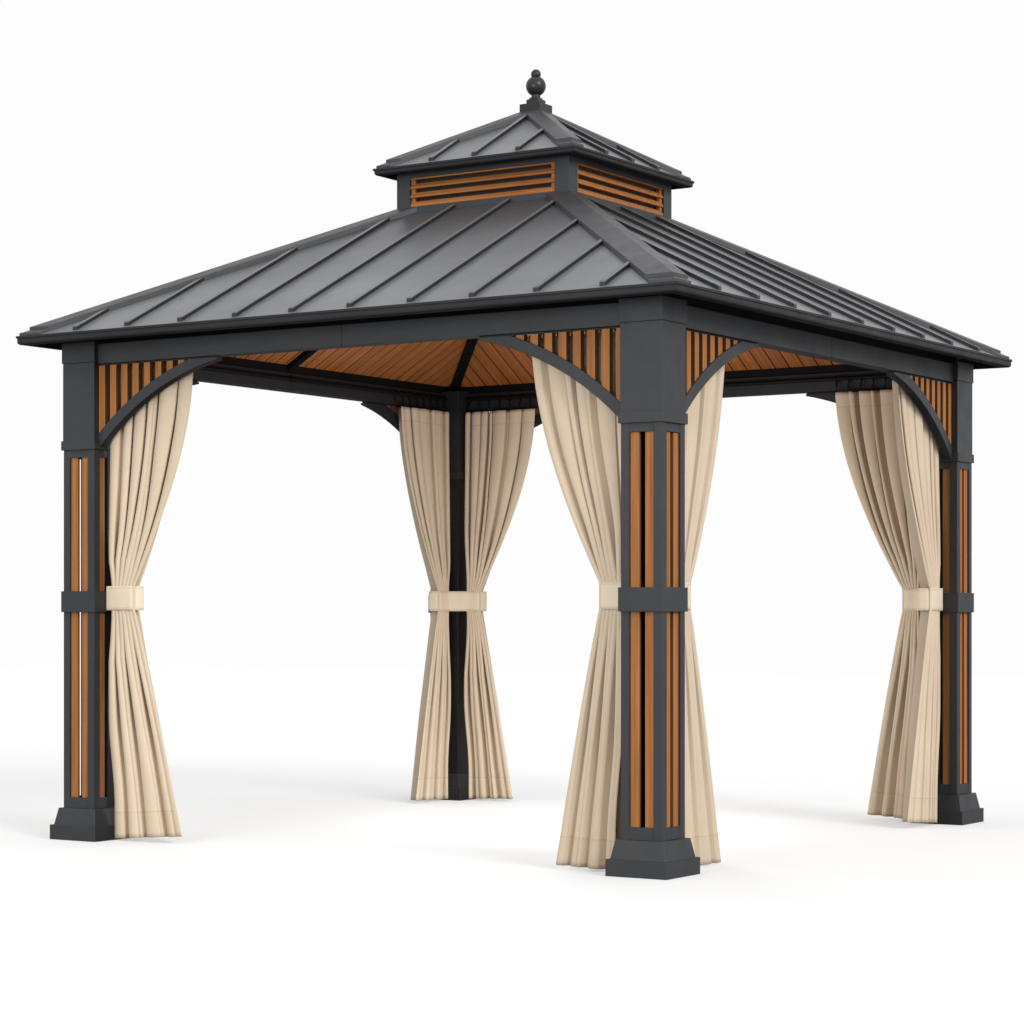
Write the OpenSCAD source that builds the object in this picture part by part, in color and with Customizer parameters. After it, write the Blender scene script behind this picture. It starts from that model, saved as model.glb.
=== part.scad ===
// Square hip-roofed gazebo with slatted posts, arched brackets, a vented cupola and tied curtains.
// Millimetres. +Z is up and the front faces -Y. The origin is on the ground under the finial.

/* [Posts] */
// Distance from the middle of the plan to the outer faces of the posts
post_r = 1640; // [1450:10:2200]
// Width of a post
post_w = 194; // [170:1:240]
// Height of the slatted shaft
shaft_h = 1860; // [1700:5:2200]
// Width of a corner stile
stile_w = 40; // [30:1:48]
// Height of the bottom rail of a post, above its base
foot_rail_h = 52; // [20:1:80]
// Height of the top rail of a post
top_rail_h = 37; // [20:1:60]
// Thickness of the rails between the stiles
rail_t = 24; // [22:1:34]
// How far the rails lie behind the faces of the stiles
rail_set = 2; // [1:0.5:4]
// Width of a post slat
slat_w = 43; // [25:1:46]
// Gap between a slat and the stile beside it
slat_gap = 1; // [0:0.5:4]
// Gap between a slat and the core in the post's inner corner
core_gap = 10; // [4:1:30]
// Thickness of a post slat
slat_t = 14; // [8:1:16]
// How far the post slats lie behind the faces of the stiles
slat_set = 8; // [3:1:10]
// Height of the plain block at the head of a post
head_h = 370; // [300:5:450]
// How far the head block stands out from the shaft
head_out = 2.5; // [1:0.5:6]
// Height of the collar under the head block
collar_h = 44; // [25:1:70]
// How far the collar stands out from the shaft
collar_out = 9.5; // [7:0.5:14]

/* [Bases and bands] */
// Height of the lower block of a post base
foot_h = 70; // [40:1:100]
// How far the lower block stands out from the shaft
foot_out = 47; // [40:1:70]
// Height of the tapered block above it
taper_h = 80; // [50:1:120]
// How far the tapered block stands out at its bottom
taper_out_low = 33; // [26:1:38]
// How far the tapered block stands out at its top
taper_out_high = 17; // [8:1:22]
// Height of the underside of the middle band
band_z = 1086; // [900:1:1150]
// Height of the middle band
band_h = 100; // [60:1:140]
// How far the middle band stands out from the shaft
band_out = 9; // [5:0.5:14]

/* [Beams] */
// Height of a beam
beam_h = 94; // [70:1:120]
// Thickness of a beam
beam_t = 80; // [60:1:90]
// How far a beam's outer face lies behind the posts' faces
beam_in = 20; // [10:1:30]
// How far the beams hang below the corner caps
beam_drop = 8; // [2:1:14]
// Height of a corner cap
cap_h = 98; // [90:1:140]
// How far a corner cap stands out from the shaft
cap_out = 7; // [4:0.5:12]
// Thickness of a wall plate
plate_t = 40; // [25:1:50]
// How far a wall plate's outer face lies behind the beam's
plate_in = 30; // [15:1:30]
// Width of the splice groove at the middle of a beam
splice_w = 3; // [2:0.5:6]
// Depth of the splice groove
splice_d = 2; // [1:0.5:4]
// Width of the notch at the foot of the splice
notch_w = 14; // [8:1:30]
// Height of that notch
notch_h = 7; // [4:1:12]

/* [Brackets] */
// Inner radius of a brace
brace_ri = 1386; // [1200:1:1700]
// Thickness of a brace along its radius
brace_t = 50; // [35:1:60]
// Depth of a brace from front to back
brace_d = 46; // [40:1:52]
// How far a brace's outer face lies behind the posts' faces
brace_in = 26; // [22:1:30]
// Distance from the beams' underside down to the foot of a brace's inner edge
brace_drop = 403; // [340:1:412]
// How far the crown of the inner arc would rise above the beams' underside
arc_over = 6; // [0:1:10]
// Length of a bracket along the beam
bracket_l = 720; // [640:5:760]
// Height of the strip that holds the bracket under the beam
strip_h = 8; // [5:1:12]
// Depth of that strip
strip_d = 24; // [18:1:26]
// Width of a bracket slat
bslat_w = 38; // [28:1:46]
// Depth of a bracket slat
bslat_d = 28; // [20:1:32]
// How far the bracket slats lie behind the braces' outer faces
bslat_in = 6; // [3:1:12]
// Distance between the bracket slats
bslat_pitch = 70; // [60:1:90]

/* [Main roof] */
// How far the lip of the eave stands out from the posts' faces
eave_over = 160; // [140:5:300]
// Height of the eave lip above the corner caps
eave_up = 30; // [20:1:60]
// Slope of the main roof in degrees
roof_pitch = 26.5; // [22:0.5:30]
// Thickness of the roof sheets, measured upright
sheet_t = 5; // [3:0.5:8]
// Width of the lip of the eave trim
lip_t = 10; // [6:1:16]
// Height of the lip of the eave trim
lip_h = 11; // [8:1:16]
// How far the trim's face lies behind its lip
lip_set = 5; // [2:0.5:8]
// Height of the eave trim
trim_h = 42; // [34:1:60]
// Width of the eave trim's flat underside and foot together
trim_d = 46; // [36:1:70]
// Radius of the trim's lower edge
trim_round = 14; // [8:1:18]
// Distance between the ribs on the front and the back of the main roof
rib_pitch = 320; // [260:5:400]
// Distance between the ribs on the left and right sides of the main roof
side_rib_pitch = 350; // [260:5:400]
// Width of a rib
rib_w = 22; // [16:1:28]
// Height of a rib above the sheet
rib_h = 20; // [12:1:26]
// Distance from a rib's end to the edge of the sheet
rib_set = 12; // [4:1:30]
// Length of the stop block at the end of a rib
stop_l = 24; // [16:1:40]
// How far the stop block stands out at each side and on top
stop_out = 3; // [1:0.5:6]
// Width of a hip cap on each side of the hip
hip_w = 88; // [60:1:120]
// Height of a hip cap above the sheet
hip_h = 27; // [27:1:34]
// Distance from the end of a hip cap to the eave lip
hip_set = 46; // [36:1:90]
// Height of the nose at the end of a hip cap, above the sheet
nose_h = 13; // [8:1:18]
// Distance from the nose to the edge of the sheet
nose_set = 2; // [1:0.5:6]

/* [Ceiling] */
// Thickness of the ceiling boards
board_t = 15; // [8:1:22]
// Width of a rafter
rafter_w = 50; // [36:1:60]
// Height of a rafter
rafter_h = 30; // [20:1:60]
// Gap between the corner caps and the rafters' lower ends
rafter_up = 2; // [1:1:30]

/* [Cupola] */
// Distance from the middle to the outer faces of the cupola
cup_r = 497; // [420:1:560]
// Thickness of the cupola's rails
cup_t = 40; // [34:1:50]
// Width of a corner post of the cupola
cup_post_w = 80; // [60:1:100]
// Height of the curb above the main roof sheets
curb_up = 30; // [26:1:50]
// Height of the louvred openings
louvre_h = 139; // [120:1:170]
// Height of the cupola's eave lip above the openings
cup_eave_up = 51; // [40:1:70]
// How far the cupola's eave lip stands out from its posts
cup_over = 85; // [70:1:110]
// Slope of the cupola roof in degrees
cup_pitch = 29; // [24:0.5:34]
// Height of the cupola's eave trim
cup_trim_h = 34; // [30:1:44]
// Width of the cupola trim's underside and foot together
cup_trim_d = 40; // [34:1:48]
// Distance between the ribs of the cupola roof
cup_rib_pitch = 250; // [200:5:300]
// Width of a cupola hip cap on each side of the hip
cup_hip_w = 62; // [40:1:80]
// Number of blades in each louvred opening
blade_count = 3; // [2:1:4]
// Height of a blade of the louvres
blade_h = 26; // [18:1:30]
// Height of a blade's front edge
blade_edge = 10; // [6:1:16]
// Depth of a blade of the louvres
blade_d = 28; // [18:1:30]
// How far the blades' front edges lie behind the cupola's faces
blade_in = 3; // [1:0.5:8]
// Height of the strip over the blades
louvre_strip_h = 7; // [4:1:14]
// Width of the end stile of the louvres
louvre_stile_w = 24; // [16:1:40]
// How far the louvres' stiles lie behind the blades
louvre_set = 8; // [4:1:12]
// Thickness of the dark screens behind the blades
screen_t = 3; // [1:0.5:6]

/* [Finial] */
// Width of the square block under the finial
knob_w = 118; // [90:1:150]
// Height of that block above the cupola's hip caps
knob_h = 38; // [28:1:60]
// Width of the square neck piece
neck_w = 69; // [58:1:84]
// Height of the square neck piece
neck_h = 36; // [28:1:50]
// Height of the straight foot of the neck piece
neck_foot_h = 8; // [4:1:14]
// Radius of the round neck
neck_r = 23; // [16:1:26]
// Height of the round neck between the neck piece and the large ball
neck_up = 14; // [6:1:24]
// Radius of the large ball
ball_r = 50; // [40:1:60]
// Radius of the small ball
tip_r = 25; // [18:1:32]
// How far the small ball is let into the large one
tip_sink = 16; // [8:1:18]

/* [Curtains] */
// Gap between the brackets and the gathered curtains
curtain_in = 6; // [5.5:0.5:20]
// Gap between the middle bands and the edges of the curtains
curtain_gap = 7; // [6:0.5:12]
// Height of the hem above the ground, beside the post
hem_z = 15; // [8:1:60]
// Height above a post base at which the curtain's edge starts to pass over it
edge_clear = 10; // [4:1:40]
// Height above a post base at which that edge reaches the line of the middle band
edge_over = 150; // [60:5:300]
// How much higher the hem is at the curtain's free edge
hem_rise = 40; // [0:1:60]
// Distance from the beams' underside down to the top of a curtain
header_drop = 16; // [12:1:40]
// Width of a curtain at its top
header_w = 515; // [420:5:600]
// Width of a curtain where it is tied
waist_w = 190; // [150:1:240]
// Width of a curtain at its hem
hem_w = 390; // [300:5:540]
// Thickness of a gathered curtain at its top and waist
gather_d = 80; // [60:1:88]
// Thickness of a gathered curtain at its hem
hem_d = 98; // [80:1:104]
// Height of the underside of a tie
tie_z = 1094; // [1060:1:1110]
// Height of a tie
tie_h = 116; // [90:1:140]
// Thickness of a tie
tie_t = 4; // [3:0.5:6]
// Radius of a tie round the corners of the gathered curtain
tie_round = 20; // [12:1:28]
// Depth of the tab that holds a tie to the post
tab_d = 30; // [20:1:50]
// Radius of the curtain rails
rod_r = 11; // [8:1:12]
// Distance from the beams' inner faces to the curtain rails
rod_in = 18; // [15:1:30]
// Height of the curtain rails above the beams' underside
rod_up = 60; // [40:1:70]
// Length of the sleeve that joins the halves of a curtain rail
sleeve_l = 60; // [40:1:100]
// Thickness of that sleeve
sleeve_t = 2; // [1:0.5:4]
// Distance from a curtain's edge to its first hook
hook_set = 12; // [6:1:20]
// Distance between the curtain hooks
hook_pitch = 70; // [50:1:100]
// Radius of a curtain hook
hook_r = 2.5; // [1.5:0.5:4]

/* [Hidden] */
$fn = 48;

// Colours
METAL = "#484a4d";
SHEET = "#85868a";
WOOD = "#b97f4e";
BOARDS = "#84502a";
CLOTH = "#d9c7a8";

// Hairline joint at the mitres, and the clearance of soft pieces
seam = 0.4;
soft_gap = 0.3;
// Overlap of joined solids, and how far a cutter runs past a face
lap = 1;
// Segments of a round edge on the trim
round_steps = 5;
// Facets of the large arcs
arc_fn = 240;

// Post positions and heights
post_c = post_r - post_w / 2;
core_w = post_w - stile_w - slat_gap - slat_w - core_gap;
base_h = foot_h + taper_h;
collar_top = shaft_h + collar_h;
head_top = collar_top + head_h;
head_face = post_c - post_w / 2 - head_out;
collar_face = post_c - post_w / 2 - collar_out;
band_face = post_c - post_w / 2 - band_out;
cap_face = post_c - post_w / 2 - cap_out;
slat_top = shaft_h - top_rail_h;
slat_low = base_h + foot_rail_h;

// Beams and wall plates
beam_z = head_top - beam_drop;
beam_r = post_r - beam_in;
cap_top = head_top + cap_h;
plate_r = beam_r - plate_in;
plate_face = plate_r - plate_t;

// Brackets
arc_x = head_face - sqrt(pow(brace_ri, 2) - pow(brace_ri - arc_over - brace_drop, 2));
arc_z = beam_z + arc_over - brace_ri;
brace_ro = brace_ri + brace_t;
brace_r = post_r - brace_in;
tip_x = head_face - bracket_l;
strip_z = beam_z - strip_h;
bslat_r = brace_r - bslat_in;
strip_r = brace_r - (brace_d - strip_d) / 2;
slat_end_x = arc_x + sqrt(brace_ro * brace_ro - pow(strip_z - arc_z, 2));
bslat_count = floor((head_face - slat_end_x) / bslat_pitch) + 1;

// Roof planes, each given by its height over the middle and its slope
eave_r = post_r + eave_over;
eave_z = cap_top + eave_up;
main_plane = [eave_z + (eave_r - lip_t) * tan(roof_pitch), tan(roof_pitch)];
ceiling_low = cap_top + rafter_up + rafter_h;
ceiling_high = height(main_plane, cup_r) - sheet_t - board_t;
ceiling_slope = (ceiling_high - ceiling_low) / (plate_face - cup_r);
ceiling_plane = [ceiling_high + cup_r * ceiling_slope, ceiling_slope];
curb_top = height(main_plane, cup_r) + curb_up;
curb_low = ceiling_high - rafter_h;
opening_top = curb_top + louvre_h;
cup_eave_r = cup_r + cup_over;
cup_eave_z = opening_top + cup_eave_up;
cup_plane = [cup_eave_z + (cup_eave_r - lip_t) * tan(cup_pitch), tan(cup_pitch)];
blade_face = cup_r - blade_in;
blade_back = blade_face - blade_d;

// Finial
knob_low = height(cup_plane, knob_w / 2) - sheet_t;
knob_top = height(cup_plane, knob_w / 2) + hip_h + knob_h;
neck_top = knob_top + neck_h;
ball_z = neck_top + neck_up + sqrt(ball_r * ball_r - neck_r * neck_r);
tip_z = ball_z + ball_r + tip_r - tip_sink;
overall_h = tip_z + tip_r;

// Curtains
curtain_r = brace_r - brace_d - curtain_in - gather_d / 2;
rod_at = beam_r - beam_t - rod_in;
curtain_edge = band_face - curtain_gap;
header_z = beam_z - header_drop;
tie_top = tie_z + tie_h;
rod_z = beam_z + rod_up;
base_edge = post_c - post_w / 2 - foot_out - curtain_gap / 2;
edge_low = base_h + edge_clear;
edge_high = base_h + edge_over;
// Points of a curtain's outline
curtain_points = 24;
curtain_levels = concat([hem_z, edge_low], steps(edge_high, tie_z, 4), steps(tie_top, header_z, 5));

function height(plane, r) = plane[0] - plane[1] * r;
function steps(from, to, count) = [for (k = [0 : count]) from + (to - from) * k / count];

function arc(centre, radius, from, to) = [
    for (i = [0 : round_steps])
        let (a = from + (to - from) * i / round_steps)
        centre + radius * [cos(a), sin(a)]
];

// Turns a piece made for the front to side i: front, right, back, left.
module at_side(i) {
    rotate([0, 0, 90 * i]) children();
}

// Moves a piece made around a post's axis to corner i: front right, back right, back left, front left.
module at_corner(i) {
    rotate([0, 0, 90 * i]) translate([post_c, -post_c, 0]) children();
}

// Extrudes an outline, drawn as distance from the middle against height, along the front.
module run(length) {
    rotate([90, 0, -90]) linear_extrude(length, center = true) children();
}

// Plan of one side between two distances, with its hip edges drawn in by a cut.
module plan_side(r_in, r_out, cut) {
    a = max(r_in, cut + lap);
    polygon([[cut - a, -a], [a - cut, -a], [r_out - cut, -r_out], [cut - r_out, -r_out]]);
}

module mitred(r_in, r_out, cut = seam) {
    intersection() {
        run(2 * r_out) children();
        linear_extrude(overall_h) plan_side(r_in, r_out, cut);
    }
}

// Outline of a layer that follows a roof plane, between two heights measured from it.
module layer(plane, r_in, r_out, low, high) {
    polygon([
        [r_in, height(plane, r_in) + low], [r_out, height(plane, r_out) + low],
        [r_out, height(plane, r_out) + high], [r_in, height(plane, r_in) + high]
    ]);
}

module square_tube(outer, inner, h) {
    linear_extrude(h) difference() {
        square(outer, center = true);
        square(inner, center = true);
    }
}

// Posts

module post_face(i) {
    rotate([0, 0, 90 * i]) translate([0, -post_w / 2, 0]) children();
}

// The bottom and top rail of a face, between two places along it.
module post_rails(from, to) {
    translate([from, rail_set, base_h]) cube([to - from, rail_t, foot_rail_h]);
    translate([from, rail_set, slat_top]) cube([to - from, rail_t, top_rail_h]);
}

// Three corner stiles and the wide core in the corner towards the room, joined by rails.
module post_frame() {
    edge = post_w / 2;
    reach = edge - stile_w;
    color(METAL) {
        for (a = [0, 90, 270])
            rotate([0, 0, a]) translate([reach, -edge, 0]) cube([stile_w, stile_w, shaft_h]);
        translate([-edge, edge - core_w, 0]) cube([core_w, core_w, shaft_h]);
        for (i = [0, 1]) post_face(i) post_rails(-reach, reach);
        post_face(2) post_rails(-reach, edge - core_w);
        post_face(3) post_rails(core_w - edge, reach);
    }
}

// A slat beside the left (-1) or right (1) stile of a face.
module post_slat(side) {
    centre = side * (post_w / 2 - stile_w - slat_gap - slat_w / 2);
    translate([centre - slat_w / 2, slat_set, slat_low]) cube([slat_w, slat_t, slat_top - slat_low]);
}

module post_slats() {
    color(WOOD) {
        for (i = [0, 1], side = [-1, 1]) post_face(i) post_slat(side);
        post_face(2) post_slat(-1);
        post_face(3) post_slat(1);
    }
}

module taper_outline() {
    low = post_w / 2 + taper_out_low;
    high = post_w / 2 + taper_out_high;
    polygon([[-low, foot_h], [low, foot_h], [high, base_h], [-high, base_h]]);
}

module post_base() {
    square_tube(post_w + 2 * foot_out, post_w, foot_h);
    difference() {
        intersection() {
            rotate([90, 0, 0]) linear_extrude(post_w * 2, center = true) taper_outline();
            rotate([90, 0, 90]) linear_extrude(post_w * 2, center = true) taper_outline();
        }
        linear_extrude(base_h + lap) square(post_w, center = true);
    }
}

module post_bases() {
    color(METAL) for (i = [0 : 3]) at_corner(i) post_base();
}

module post_bands() {
    color(METAL)
    for (i = [0 : 3])
        at_corner(i) translate([0, 0, band_z]) square_tube(post_w + 2 * band_out, post_w, band_h);
}

module block(width, low, high) {
    translate([-width / 2, -width / 2, low]) cube([width, width, high - low]);
}

module post_head() {
    block(post_w + 2 * collar_out, shaft_h, collar_top);
    block(post_w + 2 * head_out, collar_top - lap, head_top);
}

module post_heads() {
    color(METAL) for (i = [0 : 3]) at_corner(i) post_head();
}

// A cap over the ends of two beams, with the stub that fills the corner of the wall plates.
module corner_cap() {
    at_corner(0) block(post_w + 2 * cap_out, head_top, cap_top);
    for (flip = [0, 1])
        mirror([flip, flip, 0])
        intersection() {
            run(2 * plate_r) polygon([
                [plate_face, cap_top - lap], [plate_r, cap_top - lap],
                [plate_r, height(main_plane, plate_r) - sheet_t],
                [plate_face, height(main_plane, plate_face) - sheet_t]
            ]);
            linear_extrude(overall_h) polygon([
                [plate_face, -plate_face], [plate_r, -plate_r], [plate_face, -plate_r]
            ]);
        }
}

module corner_caps() {
    color(METAL) for (i = [0 : 3]) at_side(i) corner_cap();
}

// Beams

module beam() {
    color(METAL)
    difference() {
        run(2 * cap_face) translate([beam_r - beam_t, beam_z]) square([beam_t, beam_h]);
        translate([-splice_w / 2, -beam_r - lap, beam_z - lap])
            cube([splice_w, splice_d + lap, beam_h + 2 * lap]);
        translate([-notch_w / 2, -beam_r - lap, beam_z - lap])
            cube([notch_w, splice_d + lap, notch_h + lap]);
    }
}

module wall_plate() {
    difference() {
        run(2 * plate_face) polygon([
            [plate_face, beam_z + beam_h], [plate_r, beam_z + beam_h],
            [plate_r, height(main_plane, plate_r) - sheet_t],
            [plate_face, height(main_plane, plate_face) - sheet_t]
        ]);
        for (s = [-1, 1])
            translate([s * post_c, -post_c, 0]) block(post_w + 2 * cap_out, beam_z, cap_top);
    }
}

module wall_plates() {
    color(METAL) for (i = [0 : 3]) at_side(i) wall_plate();
}

// Brackets

// Draws in the plane of the front, and gives the drawing a depth behind a given distance.
module upright(r, depth) {
    translate([0, depth - r, 0]) rotate([90, 0, 0]) linear_extrude(depth) children();
}

module brace_disc(radius) {
    translate([arc_x, arc_z]) circle(radius, $fn = arc_fn);
}

module brace() {
    upright(brace_r, brace_d)
    intersection() {
        difference() {
            brace_disc(brace_ro);
            brace_disc(brace_ri);
        }
        polygon([
            [tip_x, arc_z], [tip_x, strip_z], [head_face, strip_z], [head_face, collar_top],
            [collar_face, collar_top], [collar_face, arc_z]
        ]);
    }
}

module bracket_slats() {
    upright(bslat_r, bslat_d)
    for (k = [0 : bslat_count - 1])
        difference() {
            translate([head_face - bslat_w - k * bslat_pitch, collar_top])
                square([bslat_w, strip_z - collar_top]);
            brace_disc(brace_ro);
        }
    translate([tip_x, -strip_r, strip_z]) cube([head_face - tip_x, strip_d, strip_h]);
}

module both_ends() {
    children();
    mirror([1, 0, 0]) children();
}

module braces() {
    color(METAL) both_ends() brace();
}

module brace_slats() {
    color(WOOD) both_ends() bracket_slats();
}

// Roofs

module rib(plane, r_in, r_out) {
    run(rib_w) layer(plane, r_in, r_out, -sheet_t / 2, rib_h);
    run(rib_w + 2 * stop_out) layer(plane, r_out - stop_l, r_out, -sheet_t / 2, rib_h + stop_out);
}

module roof_side(plane, r_in, r_out, rib_places, cap_w) {
    mitred(r_in, r_out) layer(plane, r_in, r_out, -sheet_t, 0);
    intersection() {
        for (x = rib_places) translate([x, 0, 0]) rib(plane, r_in, r_out - rib_set);
        linear_extrude(overall_h) plan_side(r_in, r_out, cap_w * sqrt(2));
    }
}

module roof_panel(pitch) {
    count = floor(2 * (eave_r - 2 * hip_w) / pitch);
    places = [for (k = [0 : count - 1]) (k - (count - 1) / 2) * pitch];
    color(SHEET) roof_side(main_plane, cup_r, eave_r - lip_t, places, hip_w);
}

// One side of a strip that follows a hip.
module hip_half(plane, width, r_in, r_out, low, high) {
    inner = width * sqrt(2);
    intersection() {
        run(2 * r_out) layer(plane, r_in, r_out, low, high);
        linear_extrude(overall_h) intersection() {
            polygon([[r_in, -r_in], [r_out, -r_out], [r_out - inner, -r_out], [r_in - inner, -r_in]]);
            translate([seam / 2, -r_out]) square([r_out, r_out]);
        }
    }
}

module hip_strip(plane, width, r_in, r_out, low, high) {
    for (flip = [0, 1])
        mirror([flip, flip, 0]) hip_half(plane, width, r_in, r_out, low, high);
}

module hip_cap(plane, width, r_in, r_lip) {
    hip_strip(plane, width, r_in, r_lip - hip_set, 0, hip_h);
    hip_strip(plane, width, r_lip - hip_set - lap, r_lip - lip_t - nose_set, 0, nose_h);
}

module hip_caps() {
    color(METAL) for (i = [0 : 3]) at_side(i) hip_cap(main_plane, hip_w, cup_r, eave_r);
}

// Outline of an eave trim: a thin lip, a flat face with a round lower edge, and a foot under the sheet.
module trim_outline(plane, r, z, h, d) {
    face = r - lip_set;
    polygon(concat(
        [[r, z], [r, z - lip_h], [face, z - lip_h]],
        arc([face - trim_round, z - h + trim_round], trim_round, 0, -90),
        [
            [r - d, z - h], [r - d, height(plane, r - d) - sheet_t],
            [r - lip_t, height(plane, r - lip_t) - sheet_t], [r - lip_t, z]
        ]
    ));
}

module trim_ring(plane, r, z, h, d) {
    color(METAL) for (i = [0 : 3]) at_side(i) mitred(r - d - lap, r) trim_outline(plane, r, z, h, d);
}

module eave_trim() {
    trim_ring(main_plane, eave_r, eave_z, trim_h, trim_d);
}

// The boards rise from the wall plates to the cupola's curb, under and steeper than the sheets.
module ceiling() {
    color(BOARDS)
    for (i = [0 : 3])
        at_side(i)
        mitred(cup_r, plate_face) layer(ceiling_plane, cup_r, plate_face, 0, board_t);
}

module rafters() {
    color(METAL)
    for (i = [0 : 3])
        at_side(i) {
            hip_strip(ceiling_plane, rafter_w / 2, cup_r, plate_face, -rafter_h, 0);
            run(rafter_w) layer(ceiling_plane, cup_r, plate_face, -rafter_h, 0);
        }
}

// Cupola

module cupola_post() {
    translate([cup_r - cup_post_w, -cup_r, curb_top - lap])
    linear_extrude(louvre_h + 2 * lap) difference() {
        square(cup_post_w);
        translate([-lap, cup_t]) square(cup_post_w - cup_t + lap);
    }
}

// Curb, corner posts and head rails, with a screen behind each set of blades.
module cupola_frame() {
    inner = cup_r - cup_t;
    color(METAL)
    for (i = [0 : 3]) at_side(i) {
        mitred(inner, cup_r, 0) translate([inner, curb_low]) square([cup_t, curb_top - curb_low]);
        mitred(inner, cup_r, 0) polygon([
            [inner, opening_top], [cup_r, opening_top],
            [cup_r, height(cup_plane, cup_r) - sheet_t], [inner, height(cup_plane, inner) - sheet_t]
        ]);
        cupola_post();
        run(2 * (cup_r - cup_post_w + lap))
            translate([blade_back - screen_t, curb_top - lap]) square([screen_t, louvre_h + 2 * lap]);
    }
}

module blade(z) {
    run(2 * (cup_r - cup_post_w)) polygon([
        [blade_face, z], [blade_face, z + blade_edge], [blade_face - blade_d / 2, z + blade_h],
        [blade_back, z + blade_h], [blade_back, z]
    ]);
}

module cupola_louvres() {
    reach = cup_r - cup_post_w;
    pitch = (louvre_h - louvre_strip_h) / blade_count;
    color(WOOD)
    for (i = [0 : 3]) at_side(i) {
        for (k = [0 : blade_count - 1]) blade(curb_top + k * pitch);
        run(2 * reach)
            translate([blade_back, opening_top - louvre_strip_h]) square([blade_d, louvre_strip_h]);
        for (s = [-1, 1])
            translate([s * (reach - louvre_stile_w / 2), 0, 0])
            run(louvre_stile_w)
            translate([blade_back, curb_top]) square([blade_d - louvre_set, louvre_h]);
    }
}

module cupola_roof() {
    color(SHEET)
    for (i = [0 : 3])
        at_side(i)
        roof_side(
            cup_plane, knob_w / 2, cup_eave_r - lip_t,
            [-cup_rib_pitch, 0, cup_rib_pitch], cup_hip_w
        );
}

module cupola_hip_caps() {
    color(METAL)
    for (i = [0 : 3]) at_side(i) hip_cap(cup_plane, cup_hip_w, knob_w / 2, cup_eave_r);
}

module cupola_trim() {
    trim_ring(cup_plane, cup_eave_r, cup_eave_z, cup_trim_h, cup_trim_d);
}

// Square neck piece with hollowed sides, drawn as its outline from the front.
module neck_outline() {
    hollow = neck_w / 2 - neck_r;
    difference() {
        translate([-neck_w / 2, knob_top - lap]) square([neck_w, neck_h + lap]);
        for (s = [-1, 1])
            translate([s * neck_w / 2, neck_top]) circle(min(hollow, neck_h - neck_foot_h));
    }
}

module finial() {
    color(METAL) {
        block(knob_w, knob_low, knob_top);
        intersection() {
            rotate([90, 0, 0]) linear_extrude(neck_w, center = true) neck_outline();
            rotate([90, 0, 90]) linear_extrude(neck_w, center = true) neck_outline();
        }
        translate([0, 0, neck_top - lap]) cylinder(r = neck_r, h = ball_z - neck_top);
        translate([0, 0, ball_z]) sphere(ball_r);
        translate([0, 0, tip_z]) sphere(tip_r);
    }
}

// Curtains

// Spread of the cloth away from the tie, from 0 at the tie to 1 at the end of the curtain.
function spread(t) = (sin(90 * t) + pow(t, 0.75)) / 2;
function curtain_w(z) =
    z >= tie_top ? waist_w + (header_w - waist_w) * spread((z - tie_top) / (header_z - tie_top)) :
    z <= tie_z ? waist_w + (hem_w - waist_w) * spread((tie_z - z) / (tie_z - hem_z)) :
    waist_w;
function curtain_d(z) =
    z >= tie_z ? gather_d : gather_d + (hem_d - gather_d) * (tie_z - z) / (tie_z - hem_z);
// Squares off a sine, for an outline between an ellipse and a rectangle.
function swell(v) = sign(v) * pow(abs(v), 0.6);
// The edge beside the post draws in over the base.
function curtain_out(z) = z < edge_high ? base_edge : curtain_edge;

// A gathered curtain as one closed solid. The hem rises evenly towards the free edge.
module curtain() {
    last = len(curtain_levels) - 1;
    points = [
        for (z = curtain_levels, i = [0 : curtain_points - 1])
            let (
                a = 360 * i / curtain_points,
                out = curtain_out(z),
                w = out - curtain_edge + curtain_w(z),
                x = w / 2 * (1 - swell(cos(a))),
                rise = z == hem_z ? hem_rise * x / w : 0
            )
            [out - x, curtain_d(z) / 2 * swell(sin(a)) - curtain_r, z + rise]
    ];
    walls = [
        for (j = [0 : last - 1], i = [0 : curtain_points - 1])
            let (n = (i + 1) % curtain_points, b = j * curtain_points)
            [b + i, b + i + curtain_points, b + n + curtain_points, b + n]
    ];
    bottom = [for (i = [0 : curtain_points - 1]) i];
    top = [for (i = [curtain_points - 1 : -1 : 0]) last * curtain_points + i];
    polyhedron(points, concat([bottom, top], walls));
}

module curtains() {
    color(CLOTH) both_ends() curtain();
}

module rounded(w, d, r) {
    square([w - 2 * r, d], center = true);
    square([w, d - 2 * r], center = true);
    for (x = [-1, 1], y = [-1, 1]) translate([x * (w / 2 - r), y * (d / 2 - r)]) circle(r);
}

// A band round the waist of a curtain, with the tab that holds it to the post.
module tie() {
    w = waist_w + 2 * soft_gap;
    d = gather_d + 2 * soft_gap;
    ring_edge = curtain_edge + soft_gap + tie_t;
    translate([0, 0, tie_z]) linear_extrude(tie_h) {
        translate([curtain_edge - waist_w / 2, -curtain_r]) difference() {
            rounded(w + 2 * tie_t, d + 2 * tie_t, tie_round + tie_t);
            rounded(w, d, tie_round);
        }
        translate([ring_edge - lap, -curtain_r - tab_d / 2])
            square([band_face - ring_edge + lap, tab_d]);
    }
}

module curtain_ties() {
    color(CLOTH) for (i = [0 : 3]) at_side(i) both_ends() tie();
}

module curtain_rail() {
    hooks = floor((header_w - 2 * hook_r) / hook_pitch);
    translate([0, -rod_at, rod_z]) rotate([0, 90, 0]) {
        cylinder(r = rod_r, h = 2 * cap_face, center = true);
        cylinder(r = rod_r + sleeve_t, h = sleeve_l, center = true);
    }
    both_ends()
    for (k = [0 : hooks])
        translate([curtain_edge - hook_set - k * hook_pitch, -rod_at, header_z + soft_gap])
        cylinder(r = hook_r, h = rod_z - header_z);
}

module curtain_rails() {
    color(METAL) for (i = [0 : 3]) at_side(i) curtain_rail();
}

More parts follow.
